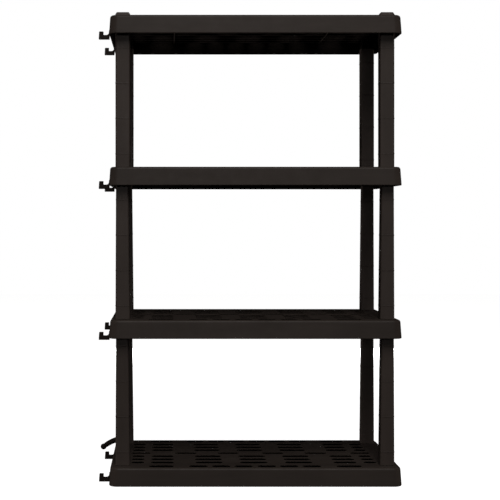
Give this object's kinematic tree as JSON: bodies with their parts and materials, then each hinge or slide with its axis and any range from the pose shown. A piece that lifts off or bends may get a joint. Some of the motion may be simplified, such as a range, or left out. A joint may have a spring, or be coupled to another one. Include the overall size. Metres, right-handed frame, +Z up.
{
  "type": "plastic shelving unit",
  "caption": "Free-standing shelving unit of slotted plastic decks stacked on plug-in posts, with side hooks and corner caps.",
  "frame": {"origin": "on the floor under the middle of the bottom shelf, on its centre foot", "axes": "+Z up, +X to the right seen from the front, front faces -Y"},
  "size_m": [0.9128, 0.457, 1.4035],
  "materials": {
    "shelf_plastic": "dark brown-black moulded resin, fine grained, faint sheen along edges",
    "post_plastic": "dark brown-black moulded resin, slightly lighter than the decks",
    "cap_plastic": "dark brown-black moulded resin",
    "hook_plastic": "dark brown-black moulded resin",
    "hanger_plastic": "dark brown-black moulded resin, rounded"
  },
  "bodies": {
    "bottom_deck": {"bottom_shelf": "shelf_plastic"},
    "lower_posts": {"lower_post_front_left": "post_plastic", "lower_post_front_right": "post_plastic", "lower_post_rear_left": "post_plastic", "lower_post_rear_right": "post_plastic"},
    "lower_deck": {"lower_shelf": "shelf_plastic"},
    "middle_posts": {"middle_post_front_left": "post_plastic", "middle_post_front_right": "post_plastic", "middle_post_rear_left": "post_plastic", "middle_post_rear_right": "post_plastic"},
    "upper_deck": {"upper_shelf": "shelf_plastic"},
    "upper_posts": {"upper_post_front_left": "post_plastic", "upper_post_front_right": "post_plastic", "upper_post_rear_left": "post_plastic", "upper_post_rear_right": "post_plastic"},
    "top_deck": {"top_shelf": "shelf_plastic"},
    "cap_front_left_body": {"cap_front_left": "cap_plastic"},
    "cap_front_right_body": {"cap_front_right": "cap_plastic"},
    "cap_rear_left_body": {"cap_rear_left": "cap_plastic"},
    "cap_rear_right_body": {"cap_rear_right": "cap_plastic"},
    "hook_bottom_front_body": {"hook_bottom_front": "hook_plastic"},
    "hook_bottom_rear_body": {"hook_bottom_rear": "hook_plastic"},
    "hook_lower_front_body": {"hook_lower_front": "hook_plastic"},
    "hook_lower_rear_body": {"hook_lower_rear": "hook_plastic"},
    "hook_upper_front_body": {"hook_upper_front": "hook_plastic"},
    "hook_upper_rear_body": {"hook_upper_rear": "hook_plastic"},
    "hook_top_front_body": {"hook_top_front": "hook_plastic"},
    "hook_top_rear_body": {"hook_top_rear": "hook_plastic"},
    "hanger_body": {"curved_hanger": "hanger_plastic"}
  },
  "joints": [
    {"name": "lower_posts_lift", "type": "slide", "parent": "bottom_deck", "child": "lower_posts", "axis": [0, 0, 1], "range_m": [0, 0.03]},
    {"name": "lower_deck_lift", "type": "slide", "parent": "lower_posts", "child": "lower_deck", "axis": [0, 0, 1], "range_m": [0, 0.03]},
    {"name": "middle_posts_lift", "type": "slide", "parent": "lower_deck", "child": "middle_posts", "axis": [0, 0, 1], "range_m": [0, 0.03]},
    {"name": "upper_deck_lift", "type": "slide", "parent": "middle_posts", "child": "upper_deck", "axis": [0, 0, 1], "range_m": [0, 0.03]},
    {"name": "upper_posts_lift", "type": "slide", "parent": "upper_deck", "child": "upper_posts", "axis": [0, 0, 1], "range_m": [0, 0.03]},
    {"name": "top_deck_lift", "type": "slide", "parent": "upper_posts", "child": "top_deck", "axis": [0, 0, 1], "range_m": [0, 0.03]},
    {"name": "cap_front_left_lift", "type": "slide", "parent": "top_deck", "child": "cap_front_left_body", "axis": [0, 0, 1], "range_m": [0, 0.02]},
    {"name": "cap_front_right_lift", "type": "slide", "parent": "top_deck", "child": "cap_front_right_body", "axis": [0, 0, 1], "range_m": [0, 0.02]},
    {"name": "cap_rear_left_lift", "type": "slide", "parent": "top_deck", "child": "cap_rear_left_body", "axis": [0, 0, 1], "range_m": [0, 0.02]},
    {"name": "cap_rear_right_lift", "type": "slide", "parent": "top_deck", "child": "cap_rear_right_body", "axis": [0, 0, 1], "range_m": [0, 0.02]},
    {"name": "hook_bottom_front_pull", "type": "slide", "parent": "bottom_deck", "child": "hook_bottom_front_body", "axis": [-1, 0, 0], "range_m": [0, 0.02]},
    {"name": "hook_bottom_rear_pull", "type": "slide", "parent": "bottom_deck", "child": "hook_bottom_rear_body", "axis": [-1, 0, 0], "range_m": [0, 0.02]},
    {"name": "hook_lower_front_pull", "type": "slide", "parent": "lower_deck", "child": "hook_lower_front_body", "axis": [-1, 0, 0], "range_m": [0, 0.02]},
    {"name": "hook_lower_rear_pull", "type": "slide", "parent": "lower_deck", "child": "hook_lower_rear_body", "axis": [-1, 0, 0], "range_m": [0, 0.02]},
    {"name": "hook_upper_front_pull", "type": "slide", "parent": "upper_deck", "child": "hook_upper_front_body", "axis": [-1, 0, 0], "range_m": [0, 0.02]},
    {"name": "hook_upper_rear_pull", "type": "slide", "parent": "upper_deck", "child": "hook_upper_rear_body", "axis": [-1, 0, 0], "range_m": [0, 0.02]},
    {"name": "hook_top_front_pull", "type": "slide", "parent": "top_deck", "child": "hook_top_front_body", "axis": [-1, 0, 0], "range_m": [0, 0.02]},
    {"name": "hook_top_rear_pull", "type": "slide", "parent": "top_deck", "child": "hook_top_rear_body", "axis": [-1, 0, 0], "range_m": [0, 0.02]},
    {"name": "hanger_pull", "type": "slide", "parent": "lower_posts", "child": "hanger_body", "axis": [-1, 0, 0], "range_m": [0, 0.02]}
  ]
}
